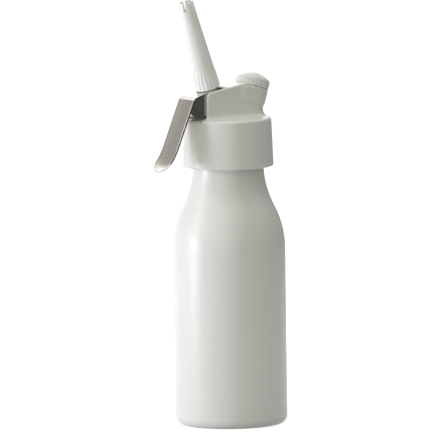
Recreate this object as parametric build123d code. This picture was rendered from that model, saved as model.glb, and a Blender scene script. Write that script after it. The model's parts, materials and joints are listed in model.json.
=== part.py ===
from build123d import *
from math import acos, atan2, cos, pi, radians, sin, sqrt, tan
import os

# Whipped cream dispenser with a 0.5 litre bottle, in millimetres. +Z is up. The origin is
# on the bottle's axis, in the plane that it stands on. The lever points to -X and the
# charger port to +X, and the plane Y = 0 is the plane of symmetry.

# Clearances
seat_gap = 0.02  # radial, between pieces screwed or pressed together
running_gap = 0.06  # between a shaft and its bore, and between faces that turn on each other
free_gap = 0.3  # between pieces that pass each other
slot_gap = 0.6  # round the lever's ears, where they swing

# Bottle
bottle_r = 40.0
bottle_wall = 1.5
bottle_body_h = 126.0  # up to where the shoulder starts
shoulder_h = 61.0
neck_r = 25.2  # at the root of its thread
neck_h = 24.5
base_corner_r = 6.5
standing_ring_w = 2.5
base_dome_h = 8.0
mouth_round_r = 0.6

# Seal between the bottle and the head
gasket_t = 3.0
gasket_overhang = 2.3  # inside the bottle's mouth
gasket_groove_d = 0.5

# Head: a metal core with the neck thread, inside a moulded shell
neck_thread_room = 1.9  # radial, for the two threads
core_wall = 2.5
core_plate_t = 3.0
core_rise = 2.5  # from the shell's lower rim to the core's
shell_plate_t = 3.0
skirt_h = 35.0
skirt_wall = 1.6  # at the top, outside the core
skirt_flare = 1.3  # from its top radius to its bottom radius
skirt_bottom_round_r = 1.2
skirt_top_round_r = 1.4
cheek_t = 2.0
block_front_gap = 2.3  # from its front corners to the skirt's rounded edge
block_rear_l = 13.8  # from the port axis
block_slope_deg = 8.7  # of its top, rising to the rear
block_corner_r = 4.0  # where its front meets its top
block_edge_r = 1.0
foot_round_r = 1.2  # where the block stands on the skirt

# Valve axis: it leans forwards from where it crosses the top of the skirt
valve_x = -10.25
valve_tilt_deg = 16.4
plate_h = 22.8  # from the top of the skirt to the top of the lever's plate, along the axis
cheek_drop = 1.1  # from the lever's plate down to the top of the cheeks

# Lever: sheet metal, with a forked plate, two side ears and an arm that curls at its end
sheet_t = 1.5
lever_w = 18.0
plate_front = 19.3  # from the valve axis to where the plate's and the arm's faces would meet
plate_back = 1.0
bend_deg = 50.1
bend_r = 7.0
arm_l = 33.8
curl_r = 45.0
curl_deg = 27.0
fork_gap = 0.7  # from the adapter's neck to the fork
lever_edge_r = 0.3  # round its outer edges
ear_bottom_h = 3.6  # above the top of the skirt
ear_chamfer_h = 2.6
ear_heel_l = 0.2  # from the block's front to where the ear's lower edge starts to rise
ear_boss_r = 4.0
ear_notch_x = 7.6  # from the valve axis, a notch that clears the slot's roof
ear_notch_d = 4.6  # below the plate
pivot_back = 16.3  # from the valve axis
pivot_drop = 10.9  # below the lever's plate
pin_r = 2.0
pin_skin = 1.2
plug_r = 2.8
plug_t = 1.4

# Slot between the cheeks
slot_side_gap = 0.3
slot_floor_h = 0.6  # above the top of the skirt
slot_ramp_l = 6.0  # from where the floor starts to rise to the hinge
ear_groove_d = 2.1  # two grooves in the floor, which the ears dip into
ear_groove_l = 8.2  # from the block's front

# Valve
stem_r = 3.2
stem_bore_r = 2.1
stem_top_l = 4.0  # above the lever's plate
cross_hole_r = 1.5
cross_hole_h = 5.0  # above the valve seat
flange_r = 6.4
flange_t = 1.8
seal_t = 1.5
seal_r = 6.2
guide_r = 6.5
guide_top_h = 4.3  # above the top of the skirt
guide_hex_step = 1.9  # from its barrel to a flat of its hexagon
guide_hex_t = 2.5
guide_chamber_r = 4.6
guide_chamber_l = 8.5
valve_boss_wall = 2.8
valve_boss_h = 9.2  # below the top of the skirt
o_ring_t = 1.5
o_ring_depth = 2.0  # from the guide's top face
spring_coil_r = 5.0
spring_wire_r = 0.5
spring_turns = 5.0

# Thrust collar and threaded nipple, on the stem
collar_side_gap = 0.5  # to the lever's ears
collar_t = 3.3
collar_crown_r = 12.0  # so that the tilting plate rolls on it
contact_gap = 0.2
adapter_neck_wall = 1.0
adapter_neck_l = 0.8  # above the lever's plate
nipple_r = 5.2  # at the root of its thread
nipple_l = 9.2
nipple_bore_r = 3.4
nipple_chamfer = 0.6

# Nozzle
nozzle_l = 65.5
nozzle_side_gap = 0.25  # from its ribs to the cheeks
nozzle_tip_r = 5.2
nozzle_tip_wall = 1.2
nozzle_throat_r = 5.0
nozzle_thread_room = 1.2  # radial, for the two threads
nozzle_seal_t = 1.5
rib_count = 20
rib_w = 0.9
rib_proud = 0.35
rib_l = 14.0
notch_count = 5
notch_w = 1.8
notch_l = 6.5

# Charger port: its axis leans backwards from where it crosses the top of the skirt
port_x = 14.8
port_tilt_deg = 17.5
housing_step = 0.8  # how far its housing stands out from the block's sides
housing_ramp_l = 3.0
housing_front_l = 10.5  # from the port axis to where the housing starts to stand out
housing_foot_h = 10.3  # above the top of the skirt
boss_wall = 3.0
boss_h = 21.5
sleeve_stub_l = 5.1  # above the boss
sleeve_shoulder_h = 8.5
sleeve_foot_r = 5.0
sleeve_foot_l = 3.5  # below the core's boss
charger_bore_r = 5.4
outlet_r = 1.5
check_chamber_r = 3.4
check_chamber_l = 8.0
port_boss_wall = 2.0
port_boss_h = 9.0  # below the top of the skirt
nut_t = 2.5
holder_h = 10.3  # from the top of the skirt up to the piercing pin's holder
holder_t = 2.5
holder_slot_w = 1.2
holder_slot_d = 0.8
needle_r = 1.0
needle_bore_r = 0.4
needle_l = 10.2
needle_foot_l = 0.3
needle_bevel_deg = 35.0
port_gasket_t = 2.0
port_gasket_bore_r = 2.2
check_disc_gap = 0.6
check_disc_t = 1.2
check_coil_r = 2.2
check_wire_r = 0.25
check_turns = 6.0

# Cap on the charger port
cap_roof_t = 4.3  # over its liner, on its axis
cap_crown = 4.6
cap_corner_r = 2.5
cap_thread_room = 1.2  # radial, for the two threads
liner_t = 1.0
flute_count = 24
flute_r = 1.0
flute_d = 0.25

# Heights that follow from the stack of bottle, gasket, core and shell
neck_z = bottle_body_h + shoulder_h
mouth_z = neck_z + neck_h
ceiling_z = mouth_z + gasket_t - gasket_groove_d
core_top_z = ceiling_z + core_plate_t
skirt_top_z = core_top_z + shell_plate_t
skirt_bottom_z = skirt_top_z - skirt_h
mouth_r = neck_r - bottle_wall
gasket_bore_r = mouth_r - gasket_overhang
core_bore_r = neck_r + neck_thread_room
core_r = core_bore_r + core_wall
skirt_top_r = core_r + skirt_wall
skirt_r = skirt_top_r + skirt_flare
far = 4 * bottle_r  # longer than anything that a cutting tool crosses

# Widths and lengths of the block and the boss, from the lever and the skirt's flat top
slot_half_w = lever_w / 2 + slot_side_gap
block_half_w = slot_half_w + cheek_t
block_front_x = block_front_gap - sqrt(
    (skirt_top_r - skirt_top_round_r) ** 2 - block_half_w**2
)
block_rear_x = port_x + block_rear_l
boss_r = block_half_w + housing_step
cap_r = boss_r

# Frames with Z along the valve axis and along the port axis, at the top of the skirt
valve_lean = radians(valve_tilt_deg)
port_lean = radians(port_tilt_deg)
valve_frame = Plane(
    origin=(valve_x, 0, skirt_top_z),
    x_dir=(cos(valve_lean), 0, sin(valve_lean)),
    z_dir=(-sin(valve_lean), 0, cos(valve_lean)),
)
port_frame = Plane(
    origin=(port_x, 0, skirt_top_z),
    x_dir=(cos(port_lean), 0, -sin(port_lean)),
    z_dir=(sin(port_lean), 0, cos(port_lean)),
)

# Heights along the valve axis
valve_seat = -valve_boss_h - guide_hex_t
collar_top = plate_h - sheet_t - contact_gap
collar_bottom = collar_top - collar_t
stem_top = plate_h + stem_top_l
nipple_start = plate_h + adapter_neck_l
nipple_top = nipple_start + nipple_l
nozzle_start = plate_h + free_gap
nozzle_top = nozzle_start + nozzle_l
nozzle_shoulder = nipple_top + nozzle_seal_t

# Radii about the valve axis
collar_r = lever_w / 2 - sheet_t - collar_side_gap
adapter_neck_r = stem_r + adapter_neck_wall
fork_half_w = adapter_neck_r + fork_gap
guide_flat_r = guide_r + guide_hex_step
valve_boss_r = guide_r + valve_boss_wall
nozzle_socket_r = nipple_r + nozzle_thread_room
nozzle_base_r = slot_half_w - nozzle_side_gap - rib_proud

# Heights along the port axis
sleeve_rim = boss_h + sleeve_stub_l
sleeve_foot = -port_boss_h - sleeve_foot_l
holder_top = holder_h + holder_t
needle_foot = holder_h - needle_foot_l
check_ledge = holder_h - check_chamber_l
cap_rim = boss_h + free_gap
cap_ceiling = sleeve_rim + liner_t
cap_top = cap_ceiling + cap_roof_t

# Radii about the port axis
sleeve_r = boss_r - boss_wall
cap_bore_r = sleeve_r + cap_thread_room
port_boss_r = sleeve_foot_r + port_boss_wall
check_disc_r = check_chamber_r - check_disc_gap

# The lever's hinge and the room round it
pivot = valve_frame.from_local_coords(Vector(pivot_back, 0, plate_h - pivot_drop))
ear_room = ear_boss_r + slot_gap


def tube(outer_r, inner_r, bottom, top):
    """A ring about Z between two heights, or a disc where the inner radius is 0."""
    middle = Pos(0, 0, (bottom + top) / 2)
    ring = middle * Cylinder(outer_r, top - bottom)
    if inner_r:
        ring -= middle * Cylinder(inner_r, 2 * (top - bottom))
    return ring


def hexagon(flat_r, inner_r, bottom, top):
    """A hexagonal nut about Z between two heights."""
    outline = RegularPolygon(flat_r, 6, major_radius=False)
    return Pos(0, 0, bottom) * extrude(outline, top - bottom) - tube(inner_r, 0, bottom, top)


def spin(points):
    """A closed outline of (radius, height) points, turned about Z."""
    return revolve(make_face(Plane.XZ * Polyline(*points, close=True)), Axis.Z)


def across(radius, start_y, end_y):
    """A round bar along Y at the lever's pivot."""
    middle = Pos(pivot.X, (start_y + end_y) / 2, pivot.Z)
    return middle * Rot(90, 0, 0) * Cylinder(radius, end_y - start_y)


def side_plate(points, start_y, end_y):
    """A plate with the outline of (x, z) points, between two places along Y."""
    face = make_face(Plane.XZ * Polyline(*points, close=True))
    return Pos(0, end_y, 0) * extrude(face, end_y - start_y)


def coil(coil_r, wire_r, bottom, top, turns):
    """A coil spring about Z that just fits between two heights."""
    rise = top - bottom - 2 * wire_r
    helix = Helix(rise / turns, rise, coil_r, center=(0, 0, bottom + wire_r))
    wire = Plane(helix @ 0, z_dir=helix % 0) * Circle(wire_r)
    return sweep(wire, helix, is_frenet=True)


def runs_across(edge):
    """Whether an edge is a straight line along Y."""
    return edge.geom_type == GeomType.LINE and abs((edge % 0.5).Y) > 0.999


def shoulder(inset, downwards):
    """The S-shaped shoulder as two tangent arcs of one radius, at an inset from outside."""
    step = bottle_r - neck_r
    arc_r = (shoulder_h**2 + step**2) / (4 * step)
    low_centre = Vector(bottle_r - arc_r, bottle_body_h)
    high_centre = Vector(neck_r + arc_r, neck_z)
    middle = low_centre + (high_centre - low_centre).normalized() * (arc_r - inset)
    low = Vector(bottle_r - inset, bottle_body_h)
    high = Vector(neck_r - inset, neck_z)
    if downwards:
        first = TangentArc(high, middle, tangent=(0, -1))
        TangentArc(middle, low, tangent=first % 1)
    else:
        first = TangentArc(low, middle, tangent=(0, 1))
        TangentArc(middle, high, tangent=first % 1)


def make_bottle():
    """A thin shell: domed base on a standing ring, straight body, shoulder and open neck."""
    ring_out = bottle_r - base_corner_r
    ring_in = ring_out - standing_ring_w
    inner_r = bottle_r - bottle_wall
    floor_z = base_dome_h + bottle_wall
    with BuildSketch(Plane.XZ) as section:
        with BuildLine():
            TangentArc((0, base_dome_h), (ring_in, 0), tangent=(1, 0))
            Line((ring_in, 0), (ring_out, 0))
            TangentArc((ring_out, 0), (bottle_r, base_corner_r), tangent=(1, 0))
            Line((bottle_r, base_corner_r), (bottle_r, bottle_body_h))
            shoulder(0, downwards=False)
            Line((neck_r, neck_z), (neck_r, mouth_z))
            Line((neck_r, mouth_z), (mouth_r, mouth_z))
            Line((mouth_r, mouth_z), (mouth_r, neck_z))
            shoulder(bottle_wall, downwards=True)
            Line((inner_r, bottle_body_h), (inner_r, base_corner_r))
            TangentArc((inner_r, base_corner_r), (ring_out, bottle_wall), tangent=(0, -1))
            Line((ring_out, bottle_wall), (ring_in, bottle_wall))
            TangentArc((0, floor_z), (ring_in, bottle_wall), tangent=(1, 0))
            Line((0, floor_z), (0, base_dome_h))
        make_face()
    bottle = revolve(section.sketch, Axis.Z)
    mouth = bottle.edges().group_by(Axis.Z)[-1]
    return fillet(mouth, min(mouth_round_r, 0.4 * bottle_wall))


def make_head_gasket():
    return tube(core_bore_r - free_gap, gasket_bore_r, mouth_z, mouth_z + gasket_t)


def make_head_core():
    """A metal cup over the neck, with tilted bosses for the valve and the charger port."""
    bottom_z = skirt_bottom_z + core_rise
    groove_r = gasket_bore_r - free_gap
    groove_z = ceiling_z + gasket_groove_d
    core = spin(
        [
            (core_bore_r, bottom_z),
            (core_r, bottom_z),
            (core_r, core_top_z),
            (0, core_top_z),
            (0, ceiling_z),
            (groove_r, ceiling_z),
            (groove_r, groove_z),
            (core_bore_r, groove_z),
        ]
    )
    below_top = tube(groove_r, 0, skirt_bottom_z, core_top_z)
    core += below_top & (valve_frame * tube(valve_boss_r, 0, -valve_boss_h, shell_plate_t))
    core += below_top & (port_frame * tube(port_boss_r, 0, -port_boss_h, shell_plate_t))
    core -= valve_frame * tube(guide_r + seat_gap, 0, -far, far)
    return core - port_frame * tube(sleeve_foot_r + seat_gap, 0, -far, far)


def block_top_z(x):
    """Height of the upper block's sloping top, which passes just under the lever's plate."""
    plate = valve_frame.from_local_coords(Vector(0, 0, plate_h))
    return plate.Z - cheek_drop + (x - plate.X) * tan(radians(block_slope_deg))


def make_block():
    """The upper block: a plan with a round rear, cut to its side view, top edges rounded."""
    low_z = core_top_z + shell_plate_t / 2
    rear_centre_x = block_rear_x - block_half_w
    length = rear_centre_x - block_front_x
    plan = Pos(rear_centre_x - length / 2, 0) * Rectangle(length, 2 * block_half_w)
    plan += Pos(rear_centre_x, 0) * Circle(block_half_w)
    column = Pos(0, 0, low_z) * extrude(plan, far)
    side = make_face(
        Polyline(
            (block_front_x, low_z),
            (block_rear_x, low_z),
            (block_rear_x, block_top_z(block_rear_x)),
            (block_front_x, block_top_z(block_front_x)),
            close=True,
        )
    )
    front_top = side.vertices().group_by(Axis.X)[0].sort_by(Axis.Y)[-1]
    side = fillet(front_top, block_corner_r)
    block = column & extrude(Plane.XZ * side, 2 * block_half_w, both=True)
    upward = [face for face in block.faces() if face.normal_at().Z > 0.5]
    rims = [edge for face in upward for edge in face.edges()]
    return fillet(ShapeList(e for e in rims if not runs_across(e)), block_edge_r)


def make_housing():
    """The charger port's housing: it swells out of the block's sides in front of the boss."""
    start_x = port_x - housing_front_l
    swell = [
        (start_x, 0),
        (start_x, block_half_w),
        (start_x + housing_ramp_l, boss_r),
        (far, boss_r),
        (far, 0),
    ]
    plan = make_face(Polyline(*swell, close=True))
    plan += mirror(plan, Plane.XZ)
    foot = port_frame.from_local_coords(Vector(0, 0, housing_foot_h))
    roof = port_frame.from_local_coords(Vector(0, 0, boss_h))
    slope = tan(port_lean)
    side = [
        (start_x, foot.Z + (foot.X - start_x) * slope),
        (foot.X, foot.Z),
        (roof.X, roof.Z),
        (start_x, block_top_z(start_x) - block_edge_r),
    ]
    swollen = extrude(plan, 2 * far) & side_plate(side, -boss_r, boss_r)
    return swollen + port_frame * tube(boss_r, 0, housing_foot_h, boss_h)


def slot_side():
    """Side view of the slot: open in front and above the plate, roofed over the hinge."""
    throat = slot_half_w + slot_gap
    roof_z = pivot.Z + ear_room
    rear_x = pivot.X + ear_room
    floor_z = skirt_top_z + slot_floor_h
    roof_h = (roof_z - skirt_top_z - throat * sin(valve_lean)) / cos(valve_lean)
    roof_edge = valve_frame.from_local_coords(Vector(throat, 0, roof_h))
    above = valve_frame.from_local_coords(Vector(throat, 0, far))
    return [
        (-far, floor_z),
        (pivot.X - slot_ramp_l, floor_z),
        (rear_x, pivot.Z - ear_room),
        (rear_x, roof_z),
        (roof_edge.X, roof_edge.Z),
        (above.X, above.Z),
        (-far, above.Z),
    ]


def make_head_shell():
    """The moulded shell: skirt, upper block with its two cheeks, and the tilted port boss."""
    skirt = spin(
        [
            (0, skirt_bottom_z),
            (skirt_r, skirt_bottom_z),
            (skirt_top_r, skirt_top_z),
            (0, skirt_top_z),
        ]
    )
    skirt = fillet(skirt.edges().group_by(Axis.Z)[0], skirt_bottom_round_r)
    skirt = fillet(skirt.edges().group_by(Axis.Z)[-1], skirt_top_round_r)
    cap_room = cap_r + free_gap
    above_boss = Pos(far / 2 - cap_room, 0, boss_h + far / 2) * Box(far, far, far)
    block = make_block() - port_frame * above_boss
    boss = port_frame * tube(block_half_w, 0, 0, boss_h)
    shell = skirt + block + boss
    top_edges = shell.edges().filter_by_position(Axis.Z, skirt_top_z - 0.01, skirt_top_z + 0.01)
    rim = [e for e in top_edges if Vector((e @ 0.5).X, (e @ 0.5).Y).length > block_rear_x + 0.1]
    foot = [e for e in top_edges if e not in rim and (e @ 0.5).X > block_front_x + 0.1]
    shell = fillet(ShapeList(foot), foot_round_r) + make_housing()
    shell -= tube(core_r + seat_gap, 0, skirt_bottom_z - 1, core_top_z)
    shell -= side_plate(slot_side(), -slot_half_w, slot_half_w)
    groove_w = sheet_t + 2 * slot_side_gap
    groove_h = ear_groove_d + slot_floor_h
    groove_end = block_front_x + ear_groove_l
    groove = Pos(groove_end - far / 2, 0, skirt_top_z - ear_groove_d + groove_h / 2)
    for side in (-1, 1):
        at_ear = Pos(0, side * (slot_half_w - groove_w / 2), 0)
        shell -= at_ear * groove * Box(far, groove_w, groove_h)
    shell -= valve_frame * tube(guide_r + seat_gap, 0, -valve_boss_h, guide_top_h)
    shell -= port_frame * tube(sleeve_r + seat_gap, 0, sleeve_shoulder_h, boss_h + 1)
    shell -= port_frame * tube(sleeve_foot_r + seat_gap, 0, -port_boss_h, sleeve_shoulder_h)
    shell -= across(pin_r + seat_gap, pin_skin - block_half_w, block_half_w)
    return shell - across(plug_r + seat_gap, block_half_w - plug_t, block_half_w + 1)


def lever_line(depth):
    """Side line of the lever's sheet, at a depth below its outer face, in the valve's frame."""
    tangent_l = bend_r * tan(radians(bend_deg / 2))
    plate = Line((plate_back, plate_h - depth), (tangent_l - plate_front, plate_h - depth))
    bend = JernArc(plate @ 1, plate % 1, bend_r - depth, bend_deg)
    arm = Line(bend @ 1, bend @ 1 + (bend % 1) * arm_l)
    curl = JernArc(arm @ 1, arm % 1, curl_r + depth, -curl_deg)
    return [plate, bend, arm, curl]


def tangent_point(start, centre, radius, side):
    """Where a line from start touches a circle, on the side that the sign gives."""
    gap = centre - start
    angle = atan2(gap.Y, gap.X) + side * (acos(radius / gap.length) - pi)
    return centre + Vector(cos(angle), sin(angle)) * radius


def make_ear():
    """One side ear as a flat plate in the XZ plane, from the arm back to the hinge's boss."""

    def place(x, h):
        point = valve_frame.from_local_coords(Vector(x, 0, h))
        return Vector(point.X, point.Z)

    half = sheet_t / 2
    corner = place(-plate_front + half * tan(radians(bend_deg / 2)), plate_h - half)
    arm_slope = tan(valve_lean + radians(bend_deg))
    bottom_z = skirt_top_z + ear_bottom_h
    chamfer_z = bottom_z + ear_chamfer_h
    arm_x = corner.X - (corner.Y - chamfer_z) / arm_slope
    heel = Vector(block_front_x + ear_heel_l, bottom_z)
    notch = place(ear_notch_x, plate_h - ear_notch_d)
    centre = Vector(pivot.X, pivot.Z)
    outline = Polyline(
        corner,
        (arm_x, chamfer_z),
        (arm_x + ear_chamfer_h, bottom_z),
        heel,
        tangent_point(heel, centre, ear_boss_r, 1),
        centre,
        tangent_point(notch, centre, ear_boss_r, -1),
        notch,
        place(plate_back, plate_h - half),
        close=True,
    )
    ear = make_face(outline) + Pos(pivot.X, pivot.Z) * Circle(ear_boss_r)
    ear -= Pos(pivot.X, pivot.Z) * Circle(pin_r + running_gap)
    return extrude(Plane.XZ * ear, sheet_t)


def make_lever():
    """Bent sheet with a fork round the stem, two ears with hinge holes, and a round end."""
    outer = lever_line(0)
    inner = lever_line(sheet_t)
    ends = [Line(outer[0] @ 0, inner[0] @ 0), Line(outer[-1] @ 1, inner[-1] @ 1)]
    section = make_face(Wire(Curve() + outer + inner + ends))
    sheet = extrude(Plane.XZ * section, lever_w / 2, both=True)
    tip = outer[-1] @ 1
    along = outer[-1] % 1
    along = Vector(along.X, 0, along.Y)
    tip_frame = Plane((tip.X, 0, tip.Y), x_dir=along, z_dir=along.cross(Vector(0, 1, 0)))
    end_r = lever_w / 2
    corners = Box(2 * end_r, 2 * lever_w, 8 * sheet_t)
    corners -= Pos(-end_r, 0, 0) * Cylinder(end_r, 8 * sheet_t)
    sheet -= tip_frame * corners
    outward = [f for f in sheet.faces() if f.normal_at().dot(Vector(-1, 0, 1)) > 0.9]
    rims = [edge for face in outward for edge in face.edges()]
    sheet = fillet(ShapeList(e for e in rims if not runs_across(e)), lever_edge_r)
    fork = Cylinder(fork_half_w, 3 * sheet_t)
    fork += Pos(plate_back, 0, 0) * Box(2 * plate_back, 2 * fork_half_w, 3 * sheet_t)
    sheet -= Pos(0, 0, plate_h) * fork
    lever = valve_frame * sheet
    ear = make_ear()
    return lever + Pos(0, lever_w / 2, 0) * ear + Pos(0, sheet_t - lever_w / 2, 0) * ear


def make_lever_pin():
    return across(pin_r, pin_skin - block_half_w, block_half_w - plug_t)


def make_pin_plug():
    return across(plug_r, block_half_w - plug_t, block_half_w)


def make_valve_guide():
    """A bush with a hexagon below, a bore for the stem, an O-ring groove and a chamber."""
    guide = tube(guide_r, 0, -valve_boss_h, guide_top_h)
    guide += hexagon(guide_flat_r, 0, valve_seat, -valve_boss_h)
    guide -= tube(stem_r + running_gap, 0, valve_seat, guide_top_h)
    guide -= tube(guide_chamber_r, 0, valve_seat, valve_seat + guide_chamber_l)
    groove_top = guide_top_h - o_ring_depth
    guide -= tube(stem_r + o_ring_t, 0, groove_top - o_ring_t - free_gap, groove_top)
    return valve_frame * guide


def make_stem_o_ring():
    middle = guide_top_h - o_ring_depth - (o_ring_t + free_gap) / 2
    ring = Torus(stem_r + o_ring_t / 2, o_ring_t / 2 - running_gap / 2)
    return valve_frame * Pos(0, 0, middle) * ring


def make_valve_stem():
    """A tube with cross holes at its lower end, and a flange that carries the seal."""
    flange_top = valve_seat - seal_t
    holes_h = valve_seat + cross_hole_h
    stem = tube(stem_r, 0, flange_top, stem_top)
    stem += tube(flange_r, 0, flange_top - flange_t, flange_top)
    stem -= tube(stem_bore_r, 0, holes_h - cross_hole_r, stem_top)
    hole = Cylinder(cross_hole_r, 3 * stem_r)
    for turn in (Rot(90, 0, 0), Rot(0, 90, 0)):
        stem -= Pos(0, 0, holes_h) * turn * hole
    return valve_frame * stem


def make_valve_seal():
    return valve_frame * tube(seal_r, stem_r + seat_gap, valve_seat - seal_t, valve_seat)


def make_valve_spring():
    spring = coil(spring_coil_r, spring_wire_r, guide_top_h, collar_bottom, spring_turns)
    return valve_frame * spring


def make_tip_adapter():
    """A crowned thrust collar under the lever's fork, a neck in the fork, and a nipple."""
    collar = tube(collar_r, 0, collar_bottom, collar_top)
    crown = Rot(90, 0, 0) * Cylinder(collar_crown_r, 3 * collar_r)
    collar &= Pos(0, 0, collar_top - collar_crown_r) * crown
    nipple = tube(nipple_r, 0, nipple_start, nipple_top)
    nipple = chamfer(nipple.edges().group_by(Axis.Z)[-1], nipple_chamfer)
    adapter = collar + tube(adapter_neck_r, 0, collar_bottom, nipple_start) + nipple
    adapter -= tube(stem_r + seat_gap, 0, collar_bottom, stem_top)
    return valve_frame * (adapter - tube(nipple_bore_r, 0, stem_top, nipple_top))


def make_nozzle_seal():
    top = nozzle_shoulder - running_gap
    return valve_frame * tube(nozzle_socket_r - free_gap, nipple_bore_r, nipple_top, top)


def make_nozzle():
    """A straight cone with a threaded socket, fading grip ribs and a notched tip."""
    nozzle = spin(
        [
            (nozzle_socket_r, nozzle_start),
            (nozzle_base_r, nozzle_start),
            (nozzle_tip_r, nozzle_top),
            (nozzle_tip_r - nozzle_tip_wall, nozzle_top),
            (nozzle_throat_r, nozzle_shoulder),
            (nozzle_socket_r, nozzle_shoulder),
        ]
    )
    fade_r = nozzle_base_r - (nozzle_base_r - nozzle_tip_r) * rib_l / nozzle_l
    ribs = Pos(0, 0, nozzle_start + rib_l / 2) * Cone(nozzle_base_r + rib_proud, fade_r, rib_l)
    blade = Pos(nozzle_base_r, 0, nozzle_start + rib_l / 2) * Box(nozzle_tip_r, rib_w, rib_l)
    nozzle += [ribs & (turn * blade) for turn in PolarLocations(0, rib_count)]
    notch = Box(2 * nozzle_tip_r, notch_w, 2 * notch_l - notch_w)
    root = Rot(0, 90, 0) * Cylinder(notch_w / 2, 2 * nozzle_tip_r)
    notch += Pos(0, 0, notch_w / 2 - notch_l) * root
    for place in PolarLocations(nozzle_tip_r, notch_count):
        nozzle -= Pos(0, 0, nozzle_top) * place * notch
    return valve_frame * nozzle


def make_port_sleeve():
    """The charger port: a wide threaded stub, and a narrow foot down through the core."""
    sleeve = tube(sleeve_r, 0, sleeve_shoulder_h, sleeve_rim)
    sleeve += tube(sleeve_foot_r, 0, sleeve_foot, sleeve_shoulder_h)
    sleeve -= tube(charger_bore_r, 0, holder_h, sleeve_rim)
    sleeve -= tube(check_chamber_r, 0, check_ledge, holder_h)
    return port_frame * (sleeve - tube(outlet_r, 0, sleeve_foot, check_ledge))


def make_port_nut():
    nut = hexagon(port_boss_r, sleeve_foot_r + seat_gap, -port_boss_h - nut_t, -port_boss_h)
    return port_frame * nut


def make_pin_holder():
    """A threaded disc with a driver slot, which carries the piercing pin."""
    disc = tube(charger_bore_r - seat_gap, needle_r + seat_gap, holder_h, holder_top)
    slot = Box(3 * charger_bore_r, holder_slot_w, 2 * holder_slot_d)
    return port_frame * (disc - Pos(0, 0, holder_top) * slot)


def make_piercing_pin():
    """A hollow needle with a bevelled point."""
    top = needle_foot + needle_l
    needle = tube(needle_r, needle_bore_r, needle_foot, top)
    bevel = Pos(needle_r, 0, top) * Rot(0, needle_bevel_deg, 0) * Pos(0, 0, needle_l / 2)
    bevel *= Box(needle_l, needle_l, needle_l)
    return port_frame * (needle - bevel)


def make_port_gasket():
    ring = tube(charger_bore_r - seat_gap, port_gasket_bore_r, holder_top, holder_top + port_gasket_t)
    return port_frame * ring


def make_check_disc():
    return port_frame * tube(check_disc_r, 0, needle_foot - check_disc_t, needle_foot)


def make_check_spring():
    top = needle_foot - check_disc_t
    return port_frame * coil(check_coil_r, check_wire_r, check_ledge, top, check_turns)


def make_cap_liner():
    return port_frame * tube(cap_bore_r - free_gap, 0, sleeve_rim, cap_ceiling)


def make_port_cap():
    """A domed cap with fine flutes round its side."""
    edge_h = cap_top - cap_crown
    with BuildSketch(Plane.XZ) as section:
        with BuildLine():
            dome = TangentArc((0, cap_top), (cap_r, edge_h), tangent=(1, 0))
            Line(dome @ 1, (cap_r, cap_rim))
            Line((cap_r, cap_rim), (0, cap_rim))
            Line((0, cap_rim), dome @ 0)
        make_face()
        corner = [v for v in section.vertices() if v.X > cap_r / 2 and v.Y > cap_rim + 0.1]
        fillet(corner, cap_corner_r)
    cap = revolve(section.sketch, Axis.Z)
    cap -= tube(cap_bore_r, 0, cap_rim, cap_ceiling)
    flute = Pos(0, 0, (cap_rim + edge_h) / 2) * Cylinder(flute_r, edge_h - cap_rim)
    flute = fillet(flute.edges().group_by(Axis.Z)[-1], 0.6 * flute_r)
    for place in PolarLocations(cap_r + flute_r - flute_d, flute_count):
        cap -= place * flute
    return port_frame * cap


makers = {
    "bottle": make_bottle,
    "head_gasket": make_head_gasket,
    "head_core": make_head_core,
    "head_shell": make_head_shell,
    "lever": make_lever,
    "lever_pin": make_lever_pin,
    "pin_plug": make_pin_plug,
    "valve_guide": make_valve_guide,
    "stem_o_ring": make_stem_o_ring,
    "valve_stem": make_valve_stem,
    "valve_seal": make_valve_seal,
    "valve_spring": make_valve_spring,
    "tip_adapter": make_tip_adapter,
    "nozzle_seal": make_nozzle_seal,
    "nozzle": make_nozzle,
    "port_sleeve": make_port_sleeve,
    "port_nut": make_port_nut,
    "pin_holder": make_pin_holder,
    "piercing_pin": make_piercing_pin,
    "port_gasket": make_port_gasket,
    "check_disc": make_check_disc,
    "check_spring": make_check_spring,
    "cap_liner": make_cap_liner,
    "port_cap": make_port_cap,
}

if __name__ == "__main__":
    os.makedirs("parts", exist_ok=True)
    for node, make in makers.items():
        export_step(make(), f"parts/{node}.step")
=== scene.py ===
"""Looks of a white whipped cream dispenser with a steel lever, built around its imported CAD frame."""

import json
import math

import bpy
import numpy as np
from mathutils import Matrix, Vector

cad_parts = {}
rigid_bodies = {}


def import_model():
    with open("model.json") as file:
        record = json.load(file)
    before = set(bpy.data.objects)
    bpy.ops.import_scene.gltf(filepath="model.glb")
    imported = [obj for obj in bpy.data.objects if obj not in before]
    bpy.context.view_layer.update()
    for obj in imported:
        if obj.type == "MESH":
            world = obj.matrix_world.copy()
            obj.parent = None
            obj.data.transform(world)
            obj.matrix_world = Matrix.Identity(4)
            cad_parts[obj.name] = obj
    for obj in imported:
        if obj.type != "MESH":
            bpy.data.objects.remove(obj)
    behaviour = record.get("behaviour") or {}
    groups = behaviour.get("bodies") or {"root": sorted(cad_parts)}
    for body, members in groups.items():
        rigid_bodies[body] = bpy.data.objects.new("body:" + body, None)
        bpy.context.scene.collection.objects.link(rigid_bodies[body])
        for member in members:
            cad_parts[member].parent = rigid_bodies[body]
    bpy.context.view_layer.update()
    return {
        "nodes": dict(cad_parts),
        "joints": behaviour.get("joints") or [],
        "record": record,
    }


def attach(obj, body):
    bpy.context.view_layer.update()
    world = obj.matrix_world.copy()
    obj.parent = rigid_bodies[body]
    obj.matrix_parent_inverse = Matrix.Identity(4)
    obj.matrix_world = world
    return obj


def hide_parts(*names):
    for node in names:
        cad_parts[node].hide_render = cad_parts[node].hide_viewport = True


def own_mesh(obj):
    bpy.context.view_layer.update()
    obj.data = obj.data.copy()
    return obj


for leftover in list(bpy.data.objects):
    bpy.data.objects.remove(leftover)
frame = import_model()
nodes = frame["nodes"]
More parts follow.
